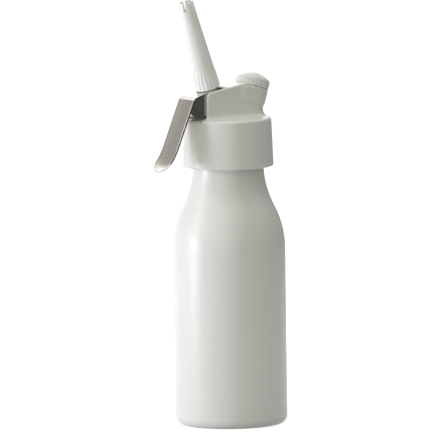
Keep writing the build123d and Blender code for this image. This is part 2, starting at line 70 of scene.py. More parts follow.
joints = {joint["name"]: joint for joint in frame["joints"]}

MM = 0.001
MICRON = 0.000001
ON_AXIS = 1e-6  # a radius below this is a point on the axis

# Sizes in millimetres, as in the CAD model
BOTTLE_R = 40.0
BOTTLE_WALL = 1.5
BODY_H = 126.0
SHOULDER_H = 61.0
NECK_R = 25.2
MOUTH_Z = 211.5
LIP_R = 0.45 * BOTTLE_WALL
BASE_CORNER_R = 6.5
BASE_START_DEG = -84  # where the base's corner rises from the edge of its standing ring
RING_W = 2.5
DOME_H = 8.0

SKIRT_TOP_Z = 220.0
SKIRT_BOTTOM_Z = 185.0
SKIRT_TOP_R = 31.2
SKIRT_FLARE = 1.3
CORE_R = 29.6
CORE_TOP_Z = 217.0
CORE_BORE_R = 27.1
BLOCK_HALF_W = 11.3
BLOCK_FRONT_X = -25.0
BLOCK_REAR_X = 28.6
BLOCK_SLOPE = math.radians(8.7)
CHEEK_DROP = 1.1
CAP_ROOM = 0.3
SLOT_HALF_W = 9.3
SLOT_FLOOR_H = 0.6
SLOT_RAMP_L = 6.0
SLOT_GAP = 0.6
EAR_BOSS_R = 4.0
EAR_GROOVE_W = 2.1
EAR_GROOVE_D = 2.1
EAR_GROOVE_L = 8.2
SEAT_GAP = 0.02
PIN_R = 2.0
PIN_SKIN = 1.2
PLUG_R = 2.8
PLUG_T = 1.4

PLATE_H = 22.8  # heights along the valve axis are from the top of the skirt
NOZZLE_START = 23.1
NOZZLE_L = 65.5
NOZZLE_TOP = NOZZLE_START + NOZZLE_L
NOZZLE_BASE_R = 8.7
NOZZLE_TIP_R = 5.2
NOZZLE_TIP_WALL = 1.2
NOZZLE_THROAT_R = 5.0
NOZZLE_SOCKET_R = 6.4
NOZZLE_SHOULDER = 34.3
RIB_COUNT = 20
RIB_W = 0.9
RIB_PROUD = 0.35
RIB_L = 14.0
NOTCH_COUNT = 5
NOTCH_W = 1.8
NOTCH_L = 6.5
NIPPLE_R = 5.2
GUIDE_R = 6.5
GUIDE_TOP_H = 4.3
COLLAR_BOTTOM = 17.8

BOSS_H = 21.5  # heights along the port axis, too
HOUSING_X = 4.3
HOUSING_RAMP_L = 3.0
HOUSING_FOOT_H = 10.3
HOUSING_TOP_DROP = 1.0
SLEEVE_R = 9.1
SLEEVE_FOOT_R = 5.0
SLEEVE_SHOULDER_H = 8.5
CAP_R = 12.1
CAP_RIM = 21.8
CAP_TOP = 31.9
CAP_CROWN = 4.6
CAP_CORNER_R = 2.5
CAP_BORE_R = 10.3
CAP_CEILING = 27.6
FLUTE_COUNT = 24
FLUTE_R = 1.0
FLUTE_D = 0.25
CHECK_LEDGE = 2.3
CHECK_TOP = 8.8

VALVE_COIL_R = 5.0
VALVE_WIRE_R = 0.5
VALVE_COIL_TURNS = 4.5
CHECK_COIL_R = 2.2
CHECK_WIRE_R = 0.25
CHECK_COIL_TURNS = 5.0

# Rounded edges of the head's shell, in millimetres
SKIRT_TOP_EDGE_R = 2.0
SKIRT_RIM_EDGE_R = 1.2
BLOCK_NOSE_R = 4.0
BLOCK_SIDE_EDGE_R = 1.2
FOOT_BLEND_R = 3.6
BOSS_EDGE_R = 0.8
HOUSING_EDGE_R = 0.3
COLLAR_FOOT_EDGE_R = 0.4
CAP_ROOM_EDGE_R = 0.5
POCKET_EDGE_R = 0.5
SLOT_EDGE_R = 0.7
EAR_GROOVE_EDGE_R = 0.4
UPPER_FOOT_Z = CORE_TOP_Z + 0.5  # the block and the boss start inside the skirt
GROOVE_OVERLAP = 0.2
BORE_OVERLAP = 1.0

# Grid of the shell's distance field, in millimetres, and how its points settle on the surface
SHELL_STEP = 0.75
SHELL_REACH = 34.2
SHELL_LOW_Z = SKIRT_BOTTOM_Z - 1.6
SHELL_HIGH_Z = 246.5
SETTLE_ROUNDS = 4
SETTLE_REACH = 0.02
NORMAL_REACH = 0.05
LEAST_SLOPE_SQUARED = 0.25  # keeps the moves short where two rounded forms meet
LEAST_NORMAL = 1e-6

# Small forms of the nozzle and the cap, in millimetres
RIB_NARROWING = 1.6  # a rib reaches as far to both sides as its width over this
RIB_ROUNDNESS = 0.7
RIB_LEAD = 0.5
RIB_RUNOUT = 3.0
RIB_ROWS = 18
SOCKET_CHAMFER = 0.4
NOZZLE_RIM_CHAMFER = 0.35
NOZZLE_OUTER_ROWS = (50.0, 60.0, 70.0)
NOZZLE_BORE_ROWS = (60.0, 45.0)
TIP_MARGIN = 1.5
TIP_ROW_SHARES = (0.25, 0.5, 0.75, 0.93)
TIP_OUTER_ROUND = ((0.05, 0.12), (0.25, 0.0))  # inwards and down
TIP_INNER_ROUND = ((0.2, 0.0), (0.0, 0.15))  # outwards and down
NOTCH_COLUMNS = (-0.999, -0.92, -0.7, -0.4, 0, 0.4, 0.7, 0.92, 0.999)  # shares of a notch's half angle
LAND_COLUMNS = 40
CAP_RIM_ROUND = ((0.0, 0.7), (0.0, 0.35), (0.12, 0.1), (0.35, 0.0))  # inwards and up
CAP_BORE_CHAMFER = 0.4
FLUTE_ROW_STEP = 0.6
FLUTE_MARGIN = 1.2
FLUTE_FADE = 1.6
FLUTE_COLUMNS = 10

# Threads, in millimetres: how far the ridges stand out, their pitches, and where they start and end
NECK_RIDGE = 1.3
CORE_RIDGE = 1.35
FINE_RIDGE = 0.8
NECK_PITCH = 4.0
FINE_PITCH = 2.0
NECK_SPAN = (191.5, 208.0)
CORE_SPAN = (190.5, 209.0)
NIPPLE_SPAN = (24.9, 31.9)
NOZZLE_SPAN = (24.9, 32.9)
SLEEVE_SPAN = (22.3, 26.1)
CAP_SPAN = (22.6, 27.0)
THREAD_SUNK = 0.12
THREAD_STEPS = 72  # a turn
THREAD_RUNOUT = 0.12  # turns
THREAD_ROOT_SHARE = 0.25  # half of the ridge's width at its root and at its crest, over the pitch
THREAD_CREST_SHARE = 0.12
THREAD_END_SHARE = 0.1  # of the ridge, at its very ends

# Steps of the other curved forms
BOTTLE_STEPS = 160
COIL_STEPS = 40  # a turn
WIRE_SIDES = 12

# What the camera sees
IMAGE_PX = 440
PX_PER_MM = 1.40
ORIGIN_PX = (231.7, 423.2)
CAMERA_AZIMUTH = math.radians(-35)
CAMERA_ELEVATION = math.radians(6.5)
CAMERA_ROLL = math.radians(0.78)
CAMERA_DISTANCE = 12000.0
SENSOR = 36.0
CLIP_RANGE_M = (0.1, 100)

# Light, in metres and watts
SURROUND_COLOR = (0.93, 1.0, 0.96, 1)
SURROUND_STRENGTH = 0.12
LIGHT_AIM = Vector((0, 0, 0.16))
LIGHTS = (  # name, azimuth and elevation in degrees, distance, size, power, colour
    ("low_key", -112, -2, 0.9, 0.3, 3.4, (0.94, 0.89, 1.0)),
    ("low_kicker", -135, 14, 1.0, 0.8, 1.9, (1.0, 0.96, 0.9)),
    ("high_key", -112, 25, 1.6, 0.4, 2.6, (0.8, 0.85, 1.0)),
    ("left_fill", -62, 12, 1.8, 1.4, 4.6, (1.0, 0.85, 0.88)),
    ("front_fill", -35, 30, 1.8, 2.0, 7.6, (0.9, 1.0, 0.78)),
    ("top", -20, 86, 1.6, 1.2, 9.5, (1.0, 1.0, 0.95)),
    ("back_left", -160, 50, 1.6, 0.8, 3.5, (1.0, 1.0, 0.9)),
    ("back_right", 153, 26, 1.6, 0.8, 2.0, (1.0, 1.0, 0.97)),
    ("right", 60, 35, 1.6, 0.8, 1.8, (1.0, 1.0, 1.0)),
)
CARD_AIM = Vector((0, 0, 0.21))
CARD_DISTANCE = 0.9
CARD_SIDES = 24
CARDS = (  # name, direction, size, colour
    ("dark_card", (0.57, -0.81, -0.11), 2.2, (0.02, 0.019, 0.015)),
    ("grey_card", (-0.47, 0.81, 0.30), 0.7, (0.56, 0.55, 0.51)),
    ("side_card", (0.985, 0.17, -0.05), 1.0, (0.3, 0.3, 0.28)),
)
FLOOR_REACH = 20.0
FLOOR_GREY = 0.53
# Painted shade: the floor glows less under the object than far off, so a grey ring shows round its foot
PAINTED_SHADE_GLOW = 0.84  # under the object, from where it rises to full white
GLOW_START = 0.05
GLOW_END = 0.5


def axis_frame(point, axis):
    """Matrix from local millimetres to the frame: Z along the axis, Y across the object."""
    z_dir = Vector(axis).normalized()
    y_dir = Vector((0, 1, 0))
    x_dir = y_dir.cross(z_dir)
    rows = Matrix((x_dir, y_dir, z_dir)).transposed().to_4x4()
    return Matrix.Translation(point) @ rows @ Matrix.Scale(MM, 4)


def foot_of(joint, height):
    """Where a joint's axis crosses height 0, for a joint placed at a height along it."""
    return Vector(joint["pos_m"]) - Vector(joint["axis"]) * height * MM


def upright(place, height, across=0.0):
    """Upright millimetres of a point at a height along a tilted axis, or off it by so much across."""
    return place @ Vector((across, 0, height)) / MM


UPRIGHT = Matrix.Scale(MM, 4)
VALVE = axis_frame(foot_of(joints["nozzle_unscrew"], NOZZLE_START), joints["nozzle_unscrew"]["axis"])
PORT = axis_frame(foot_of(joints["cap_unscrew"], CAP_RIM), joints["cap_unscrew"]["axis"])
PIVOT = Vector(joints["lever_squeeze"]["pos_m"]) / MM


# Materials

NOISE_LOW = 0.3  # nearly all values of a noise lie between these two
NOISE_HIGH = 0.7


def new_material(name):
    """A material with a Principled shader."""
    material = bpy.data.materials.new(name)
    material.use_nodes = True
    return material


def set_inputs(node, values):
    """Sets a node's inputs, from their names and values."""
    for name, value in values.items():
        node.inputs[name].default_value = value


class Finish:
    """A Principled material with procedural variation, and the helpers that add it."""

    def __init__(self, name, color, roughness, **fixed):
        self.material = new_material(name)
        self.tree = self.material.node_tree
        self.shader = self.tree.nodes["Principled BSDF"]
        self.color = color
        set_inputs(self.shader, {"Base Color": (*color, 1), "Roughness": roughness})
        set_inputs(self.shader, {socket.replace("_", " "): value for socket, value in fixed.items()})
        self.place = self.add("ShaderNodeTexCoord").outputs["Object"]

    def add(self, kind, **values):
        """A new node with the inputs given by name."""
        node = self.tree.nodes.new(kind)
        set_inputs(node, values)
        return node

    def link(self, source, target):
        """Joins an output to an input."""
        self.tree.links.new(source, target)

    def noise(self, scale, stretch=(1, 1, 1), detail=3.0):
        """Noise with features of about 1/scale metres, longer where a stretch factor is small."""
        mapping = self.add("ShaderNodeMapping", Scale=stretch)
        self.link(self.place, mapping.inputs["Vector"])
        noise = self.add("ShaderNodeTexNoise", Scale=scale, Detail=detail)
        self.link(mapping.outputs["Vector"], noise.inputs["Vector"])
        return noise.outputs["Fac"]

    def spread(self, source, low, high):
        """A noise's usual range mapped to low..high."""
        remap = self.add("ShaderNodeMapRange")
        set_inputs(remap, {"From Min": NOISE_LOW, "From Max": NOISE_HIGH})
        set_inputs(remap, {"To Min": low, "To Max": high})
        self.link(source, remap.inputs["Value"])
        return remap.outputs["Result"]

    def vary_roughness(self, source, low, high):
        """Roughness between low and high, where the source says."""
        self.link(self.spread(source, low, high), self.shader.inputs["Roughness"])

    def vary_color(self, source, other):
        """Colour between the finish's own and another one, where the source says."""
        mix = self.add("ShaderNodeMix")
        mix.data_type = "RGBA"
        set_inputs(mix, {"A": (*self.color, 1), "B": (*other, 1)})
        self.link(self.spread(source, 0, 1), mix.inputs["Factor"])
        self.link(mix.outputs["Result"], self.shader.inputs["Base Color"])

    def bump(self, source, microns):
        """Bump of a depth in micrometres, as the last step of a finish."""
        bump = self.add("ShaderNodeBump", Strength=1.0, Distance=microns * MICRON)
        self.link(source, bump.inputs["Height"])
        self.link(bump.outputs["Normal"], self.shader.inputs["Normal"])
        return self


def darker(color, share):
    """The colour at a share of its brightness."""
    return tuple(channel * share for channel in color)


def lacquer():
    """White stoved lacquer over metal: satin, with a faint orange peel."""
    color = (0.80, 0.80, 0.775)
    finish = Finish("white_lacquer", color, 0.36, Coat_Weight=0.1, Coat_Roughness=0.2)
    finish.vary_color(finish.noise(14), (0.794, 0.796, 0.77))
    finish.vary_roughness(finish.noise(90), 0.32, 0.4)
    return finish.bump(finish.noise(420, detail=1.0), microns=12)


def moulding(name, color):
    """White moulded plastic with a fine spark grain, slight flow marks and some depth."""
    finish = Finish(name, color, 0.25, Subsurface_Weight=0.06, Subsurface_Scale=0.003)
    finish.vary_color(finish.noise(22, (1, 1, 0.4)), darker(color, 0.975))
    finish.vary_roughness(finish.noise(500), 0.24, 0.27)
    return finish.bump(finish.noise(1600, detail=2.0), microns=5)


def brushed(name, color, roughness, stretch):
    """Steel with fine lines along the directions where the stretch factor is small."""
    finish = Finish(name, color, roughness, Metallic=1.0)
    lines = finish.noise(600, stretch, detail=5.0)
    finish.vary_color(lines, darker(color, 0.86))
    finish.vary_roughness(finish.noise(260, stretch), roughness - 0.07, roughness + 0.08)
    return finish.bump(lines, microns=6)


def cast(name, color):
    """Die-cast metal with a dull, slightly pitted skin."""
    finish = Finish(name, color, 0.5, Metallic=1.0)
    finish.vary_color(finish.noise(60), darker(color, 0.85))
    finish.vary_roughness(finish.noise(300), 0.42, 0.6)
    return finish.bump(finish.noise(900), microns=20)


def silicone():
    """Soft white silicone of the seals, slightly translucent and matt."""
    color = (0.72, 0.71, 0.68)
    finish = Finish("seal_silicone", color, 0.55, Subsurface_Weight=0.2, Subsurface_Scale=0.002)
    finish.vary_color(finish.noise(120), (0.68, 0.67, 0.63))
    finish.vary_roughness(finish.noise(500), 0.48, 0.64)
    return finish.bump(finish.noise(1500), microns=10)


LENGTHWISE = (0.012, 1.0, 0.012)
AROUND = (0.05, 0.05, 1.0)
EVENLY = (1, 1, 1)
finishes = {
    "lacquer": lacquer(),
    "head_plastic": moulding("head_moulding", (0.80, 0.80, 0.775)),
    "nozzle_plastic": moulding("nozzle_moulding", (0.92, 0.92, 0.905)),
    "cap_plastic": moulding("cap_moulding", (0.79, 0.79, 0.77)),
    "lever_steel": brushed("lever_brushed_steel", (0.54, 0.53, 0.5), 0.22, LENGTHWISE),
    "turned_steel": brushed("turned_steel", (0.62, 0.61, 0.60), 0.26, AROUND),
    "spring_steel": brushed("spring_wire", (0.5, 0.5, 0.5), 0.3, EVENLY),
    "core_metal": cast("core_casting", (0.62, 0.62, 0.62)),
    "silicone": silicone(),
}


# Mesh helpers, in millimetres in a local frame


def add_object(name, data):
    """A new object in the scene."""
    obj = bpy.data.objects.new(name, data)
    bpy.context.scene.collection.objects.link(obj)
    return obj


def piece(name, points, faces, place, body, slot, smooth_deg=40):
    """A mesh object from points in a frame's millimetres, with its finish, riding on a body."""
    mesh = bpy.data.meshes.new(name)
    mesh.from_pydata([place @ Vector(point) for point in points], [], faces)
    mesh.validate()
    obj = add_object(name, mesh)
    mesh.materials.append(finishes[slot].material)
    mesh.shade_smooth()
    mesh.set_sharp_from_angle(angle=math.radians(smooth_deg))
    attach(obj, body)
    return obj


def grid(rows, closed_rows=False):
    """Points and faces of rings that follow each other; a ring of one point is a pole."""
    points, starts = [], []
    for row in rows:
        starts.append(len(points))
        points.extend(tuple(point) for point in row)
    faces = []
    count = len(rows)
    for i in range(count if closed_rows else count - 1):
        low, high = rows[i], rows[(i + 1) % count]
        a, b = starts[i], starts[(i + 1) % count]
        steps = max(len(low), len(high))
        for j in range(steps):
            k = (j + 1) % steps
            if len(low) == 1:
                faces.append((a, b + k, b + j))
            elif len(high) == 1:
                faces.append((a + j, a + k, b))
            else:
                faces.append((a + j, a + k, b + k, b + j))
    return points, faces


def ring(radius, height, steps):
    """Points of a level circle round the axis, or the one point on it."""
    if radius < ON_AXIS:
        return [(0.0, 0.0, height)]
    turns = [2 * math.pi * j / steps for j in range(steps)]
    return [(radius * math.cos(t), radius * math.sin(t), height) for t in turns]


def arc(centre, radius, start_deg, end_deg, steps):
    """Points on an arc in the (radius, height) plane, both ends included."""
    angles = np.radians(np.linspace(start_deg, end_deg, steps + 1))
    return [(centre[0] + radius * math.cos(t), centre[1] + radius * math.sin(t)) for t in angles]


def from_nearest(turn, count):
    """How far a turn is from the nearest of evenly spaced places, as a share of their spacing."""
    return (turn * count / (2 * math.pi) + 0.5) % 1 - 0.5


def thread(name, place, body, slot, wall_r, ridge, pitch, span, phase=0.0):
    """A helical ridge that stands out of a wall, or into its bore where the ridge is negative.

    Its foot is sunk in the wall and both its ends run out. The phase is the turn that it starts at.
    """
    start, end = span
    turns = (end - start) / pitch
    count = int(THREAD_STEPS * turns)
    root_r = wall_r - math.copysign(THREAD_SUNK, ridge)
    root_half_w = THREAD_ROOT_SHARE * pitch
    crest_half_w = THREAD_CREST_SHARE * pitch
    points = []
    for i in range(count + 1):
        turn = turns * i / count
        grown = min(1.0, turn / THREAD_RUNOUT, (turns - turn) / THREAD_RUNOUT)
        angle = 2 * math.pi * (turn + phase)
        height = start + pitch * turn
        crest_r = root_r + (wall_r + ridge - root_r) * max(grown, THREAD_END_SHARE)
        section = (
            (root_r, -root_half_w),
            (crest_r, -crest_half_w),
            (crest_r, crest_half_w),
            (root_r, root_half_w),
        )
        points += [(r * math.cos(angle), r * math.sin(angle), height + h) for r, h in section]
    sides = len(section)
    faces = []
    for i in range(count):
        for j in range(sides):
            a, b = sides * i + j, sides * i + (j + 1) % sides
            c, d = b + sides, a + sides
            faces.append((a, b, c, d) if ridge > 0 else (a, d, c, b))
    ends = [tuple(reversed(range(sides))), tuple(sides * count + j for j in range(sides))]
    faces += ends if ridge > 0 else [end_face[::-1] for end_face in ends]
    return piece(name, points, faces, place, body, slot, smooth_deg=25)


def coil_spring(name, place, body, coil_r, wire_r, bottom, top, active_turns):
    """A coil spring with one closed turn at each end."""
    rise = top - bottom - 2 * wire_r
    closed_rise = 2 * wire_r
    turns = active_turns + 2
    count = int(COIL_STEPS * turns)
    rows = []
    for i in range(count + 1):
        turn = turns * i / count
        first = min(turn, 1.0)
        active = min(max(turn - 1, 0.0), active_turns)
        last = max(turn - 1 - active_turns, 0.0)
        height = bottom + wire_r + closed_rise * (first + last)
        height += (rise - 2 * closed_rise) * active / active_turns
        angle = 2 * math.pi * turn
        row = []
        for j in range(WIRE_SIDES):
            side = 2 * math.pi * j / WIRE_SIDES
            radius = coil_r + wire_r * math.cos(side)
            up = height + wire_r * math.sin(side)
            row.append((radius * math.cos(angle), radius * math.sin(angle), up))
        rows.append(row)
    points, faces = grid(rows)
    faces = [face[::-1] for face in faces]
    faces.append(tuple(range(WIRE_SIDES)))
    faces.append(tuple(count * WIRE_SIDES + j for j in reversed(range(WIRE_SIDES))))
    return piece(name, points, faces, place, body, "spring_steel")


# Rounded solids as distance fields, for the moulded head


def join(a, b, radius):
    """Union of two distance fields with a fillet."""
    reach = np.hypot(np.maximum(radius - a, 0), np.maximum(radius - b, 0))
    return np.maximum(radius, np.minimum(a, b)) - reach


def meet(a, b, radius):
    """Intersection of two distance fields with a rounded edge."""
    reach = np.hypot(np.maximum(radius + a, 0), np.maximum(radius + b, 0))
    return np.minimum(-radius, np.maximum(a, b)) + reach


def polygon_field(x, z, corners):
    """Signed distance in the XZ plane to a closed polygon."""
    nearest = np.full(x.shape, np.inf)
    inside = np.zeros(x.shape, bool)
    for (ax, az), (bx, bz) in zip(corners, corners[1:] + corners[:1]):
        ex, ez = bx - ax, bz - az
        wx, wz = x - ax, z - az
        along = np.clip((wx * ex + wz * ez) / (ex * ex + ez * ez), 0, 1)
        nearest = np.minimum(nearest, (wx - ex * along) ** 2 + (wz - ez * along) ** 2)
        crosses = (az > z) != (bz > z)
        with np.errstate(divide="ignore", invalid="ignore"):
            at_x = ax + ex * (z - az) / ez
        inside ^= crosses & (x < at_x)
    return np.where(inside, -1, 1) * np.sqrt(nearest)


def local(place, x, y, z):
    """Coordinates in a tilted frame, of points given in upright millimetres."""
    back = np.array((place.inverted() @ Matrix.Scale(MM, 4)))[:3]
    return [back[i][0] * x + back[i][1] * y + back[i][2] * z + back[i][3] for i in range(3)]


def gradient(field, points, reach):
    """Slope of a field at points, from its values at a reach to both sides."""
    shifts = np.eye(3) * reach
    ahead = [field(*(points + shift).T) for shift in shifts]
    behind = [field(*(points - shift).T) for shift in shifts]
    return (np.array(ahead) - np.array(behind)).T / (2 * reach)


def slope_step(field, points, step):
    """The move that brings points onto a field's zero surface, over at most half a cell."""
    slope = gradient(field, points, SETTLE_REACH)
    square = np.maximum((slope**2).sum(1), LEAST_SLOPE_SQUARED)
    move = np.clip(field(*points.T) / square, -step / 2, step / 2)
    return slope * move[:, None]


def crossed_cells(value):
    """The cells of a grid that the zero surface crosses, and where it does on average in each."""
    inside = value < 0
    shape = [n - 1 for n in value.shape]
    total = np.zeros((*shape, 3))
    hits = np.zeros(shape)

    def window(array, offset):
        return array[tuple(slice(o, o + n) for o, n in zip(offset, shape))]

    for start in [(i, j, k) for i in (0, 1) for j in (0, 1) for k in (0, 1)]:
        for axis in range(3):
            if start[axis]:
                continue
            end = tuple(o + (i == axis) for i, o in enumerate(start))
            a, b = window(value, start), window(value, end)
            cut = window(inside, start) != window(inside, end)
            share = np.where(cut, a / np.where(cut, a - b, 1), 0)
            for i in range(3):
                total[..., i] += cut * (start[i] + (share if i == axis else 0))
            hits += cut
    used = hits > 0
    return np.argwhere(used), total[used] / hits[used][:, None]


def net_faces(inside, index):
    """A quad round each edge of the grid that crosses the surface, turned outwards."""
    faces = []
    for axis in range(3):
        u, v = (axis + 1) % 3, (axis + 2) % 3
        first = [slice(1, n - 1) for n in inside.shape]
        second = list(first)
        first[axis] = slice(0, inside.shape[axis] - 1)
        second[axis] = slice(1, inside.shape[axis])
        a, b = inside[tuple(first)], inside[tuple(second)]
        base = np.argwhere(a != b)
        solid_below = a[tuple(base.T)]
        base[:, [u, v]] += 1
        quad = []
        for du, dv in ((-1, -1), (0, -1), (0, 0), (-1, 0)):
            cell = base.copy()
            cell[:, u] += du
            cell[:, v] += dv
            quad.append(index[tuple(cell.T)])
        quad = np.array(quad).T
        quad[~solid_below] = quad[~solid_below][:, ::-1]
        faces.append(quad)
    return np.concatenate(faces)


def surface_net(field, low, high, step):
    """Quads that follow the zero surface of a field, with points moved onto it."""
    axes = [np.arange(low[i], high[i] + step, step) for i in range(3)]
    value = field(*np.meshgrid(*axes, indexing="ij"))
    cells, crossing = crossed_cells(value)
    index = np.full([n - 1 for n in value.shape], -1)
    index[tuple(cells.T)] = np.arange(len(cells))
    points = np.array(low) + step * (cells + crossing)
    for _ in range(SETTLE_ROUNDS):
        points = points - slope_step(field, points, step)
    return points, net_faces(value < 0, index)


# The bottle


def shoulder(inset):
    """The S-shaped shoulder from below, as two tangent arcs at an inset from the outside."""
    step = BOTTLE_R - NECK_R
    radius = (SHOULDER_H**2 + step**2) / (4 * step)
    turn = math.degrees(math.asin(SHOULDER_H / 2 / radius))
    low = arc((BOTTLE_R - radius, BODY_H), radius - inset, 0, turn, steps=20)
    high = arc((NECK_R + radius, BODY_H + SHOULDER_H), radius + inset, 180 + turn, 180, steps=20)
    return low + high[1:]


def bottle_outline():
    """Outline in (radius, height): out from under the dome, up the wall, and back down inside."""
    ring_out = BOTTLE_R - BASE_CORNER_R
    ring_in = ring_out - RING_W
    dome_r = (ring_in**2 + DOME_H**2) / (2 * DOME_H)
    dome_turn = math.degrees(math.asin(ring_in / dome_r))
    lip_z = MOUTH_Z - LIP_R
    outline = arc((0, DOME_H - dome_r), dome_r, 90, 90 - dome_turn, steps=16)
    outline += [(ring_out, 0.0)]
    outline += arc((ring_out, BASE_CORNER_R), BASE_CORNER_R, BASE_START_DEG, 0, steps=12)
    outline += shoulder(0)
    outline += arc((NECK_R - LIP_R, lip_z), LIP_R, 0, 90, steps=5)
    outline += arc((NECK_R - BOTTLE_WALL + LIP_R, lip_z), LIP_R, 90, 180, steps=5)
    outline += shoulder(BOTTLE_WALL)[::-1]
    outline += arc((ring_out, BASE_CORNER_R), BASE_CORNER_R - BOTTLE_WALL, 0, -90, steps=8)
    outline += arc((0, DOME_H + BOTTLE_WALL - dome_r), dome_r, 90 - dome_turn, 90, steps=16)
    return outline


def make_bottle():
    """Drawn bottle: domed base on a standing ring, straight body, shoulder, threaded neck."""
    points, faces = grid([ring(r, h, BOTTLE_STEPS) for r, h in bottle_outline()])
    bottle = piece("bottle_body", points, faces, UPRIGHT, "bottle", "lacquer")
    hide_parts("bottle")
    thread("neck_thread", UPRIGHT, "bottle", "lacquer", NECK_R, NECK_RIDGE, NECK_PITCH, NECK_SPAN)
    core_bore = (CORE_BORE_R, -CORE_RIDGE, NECK_PITCH, CORE_SPAN)
    thread("core_thread", UPRIGHT, "head", "core_metal", *core_bore, phase=0.25)


# The head's moulded shell


def block_top_z(x):
    """Height of the block's sloping top."""
    plate = upright(VALVE, PLATE_H)
    return plate.z - CHEEK_DROP + (x - plate.x) * math.tan(BLOCK_SLOPE)


def slot_corners():
    """Side view of the slot: open in front and above the plate, roofed over the hinge."""
    room = EAR_BOSS_R + SLOT_GAP
    lean = math.atan2(-VALVE.col[2].x, VALVE.col[2].z)
    throat = SLOT_HALF_W + SLOT_GAP
    roof_h = (PIVOT.z + room - SKIRT_TOP_Z - throat * math.sin(lean)) / math.cos(lean)
    roof_edge = upright(VALVE, roof_h, throat)
    above = upright(VALVE, 3 * PLATE_H, throat)  # well over the block
    front_x = 2 * BLOCK_FRONT_X  # well in front of it
    floor = SKIRT_TOP_Z + SLOT_FLOOR_H
    return [
        (front_x, floor),
        (PIVOT.x - SLOT_RAMP_L, floor),
        (PIVOT.x + room, PIVOT.z - room),
        (PIVOT.x + room, PIVOT.z + room),
        (roof_edge.x, roof_edge.z),
        (above.x, above.z),
        (front_x, above.z),
    ]


def housing_corners():
    """Side view of the port's housing, in front of the port's axis."""
    foot = upright(PORT, HOUSING_FOOT_H)
    roof = upright(PORT, BOSS_H)
    slope = math.atan2(PORT.col[2].x, PORT.col[2].z)
    return [
        (HOUSING_X, foot.z + (foot.x - HOUSING_X) * math.tan(slope)),
        (foot.x, foot.z),
        (roof.x, roof.z),
        (HOUSING_X, block_top_z(HOUSING_X) - HOUSING_TOP_DROP),
    ]


def skirt_field(x, y, z):
    """Distance to the skirt, a cone with two rounded edges."""
    lean = SKIRT_FLARE / (SKIRT_TOP_Z - SKIRT_BOTTOM_Z)
    side = (np.hypot(x, y) - SKIRT_TOP_R - (SKIRT_TOP_Z - z) * lean) / math.hypot(1, lean)
    skirt = meet(side, z - SKIRT_TOP_Z, SKIRT_TOP_EDGE_R)
    return meet(skirt, SKIRT_BOTTOM_Z - z, SKIRT_RIM_EDGE_R)


def block_field(x, y, z):
    """Distance to the block: round behind, sloping on top, with room for the cap to turn."""
    rear_x = BLOCK_REAR_X - BLOCK_HALF_W
    plan = np.hypot(np.maximum(x - rear_x, 0), y) - BLOCK_HALF_W
    top = (z - block_top_z(x)) * math.cos(BLOCK_SLOPE)
    block = meet(meet(BLOCK_FRONT_X - x, top, BLOCK_NOSE_R), plan, BLOCK_SIDE_EDGE_R)
    port_x, _, port_h = local(PORT, x, y, z)
    cap_room = np.maximum(-CAP_R - CAP_ROOM - port_x, BOSS_H - port_h)
    return meet(block, -cap_room, CAP_ROOM_EDGE_R)


def outside_field(x, y, z, from_port, port_h):
    """Distance to the shell as a full body: skirt, block, port boss, and the housing round it."""
    boss = meet(from_port - BLOCK_HALF_W, port_h - BOSS_H, BOSS_EDGE_R)
    collar = meet(from_port - CAP_R, port_h - BOSS_H, BOSS_EDGE_R)
    collar = meet(collar, HOUSING_FOOT_H - port_h, COLLAR_FOOT_EDGE_R)
    swell = (CAP_R - BLOCK_HALF_W) * np.clip((x - HOUSING_X) / HOUSING_RAMP_L, 0, 1)
    side_view = polygon_field(x, z, housing_corners())
    housing = meet(np.abs(y) - BLOCK_HALF_W - swell, side_view, HOUSING_EDGE_R)
    upper = np.maximum(np.minimum(block_field(x, y, z), boss), UPPER_FOOT_Z - z)
    shell = join(skirt_field(x, y, z), upper, FOOT_BLEND_R)
    return np.minimum(join(shell, housing, HOUSING_EDGE_R), collar)


def ear_groove_field(x, y, z):
    """Distance to the two grooves that the lever's ears go down into."""
    off_ear = np.abs(np.abs(y) - SLOT_HALF_W + EAR_GROOVE_W / 2) - EAR_GROOVE_W / 2
    groove = np.maximum(off_ear, x - BLOCK_FRONT_X - EAR_GROOVE_L)
    groove = np.maximum(groove, SKIRT_TOP_Z - EAR_GROOVE_D - z)
    return np.maximum(groove, z - SKIRT_TOP_Z - SLOT_FLOOR_H - GROOVE_OVERLAP)


def bore(from_axis, radius, beyond_end):
    """Distance to the bore that a piece sits in, up to where its end is passed."""
    return np.maximum(from_axis - radius - SEAT_GAP, beyond_end)


def shell_field(x, y, z):
    """Distance to the moulded shell: its outside, less the pocket, the slot and the bores."""
    port_x, port_y, port_h = local(PORT, x, y, z)
    valve_x, valve_y, valve_h = local(VALVE, x, y, z)
    from_port = np.hypot(port_x, port_y)
    from_valve = np.hypot(valve_x, valve_y)
    from_pin = np.hypot(x - PIVOT.x, z - PIVOT.z)
    shell = outside_field(x, y, z, from_port, port_h)
    pocket = bore(np.hypot(x, y), CORE_R, z - CORE_TOP_Z)
    shell = meet(shell, -pocket, POCKET_EDGE_R)
    slot = np.maximum(polygon_field(x, z, slot_corners()), np.abs(y) - SLOT_HALF_W)
    shell = meet(shell, -slot, SLOT_EDGE_R)
    shell = meet(shell, -ear_groove_field(x, y, z), EAR_GROOVE_EDGE_R)
    bores = (
        bore(from_valve, GUIDE_R, valve_h - GUIDE_TOP_H),
        bore(from_port, SLEEVE_R, SLEEVE_SHOULDER_H - port_h),
        bore(from_port, SLEEVE_FOOT_R, port_h - SLEEVE_SHOULDER_H - BORE_OVERLAP),
        bore(from_pin, PIN_R, PIN_SKIN - BLOCK_HALF_W - y),
        bore(from_pin, PLUG_R, BLOCK_HALF_W - PLUG_T - y),
    )
    for hollow in bores:
        shell = np.maximum(shell, -hollow)
    return shell


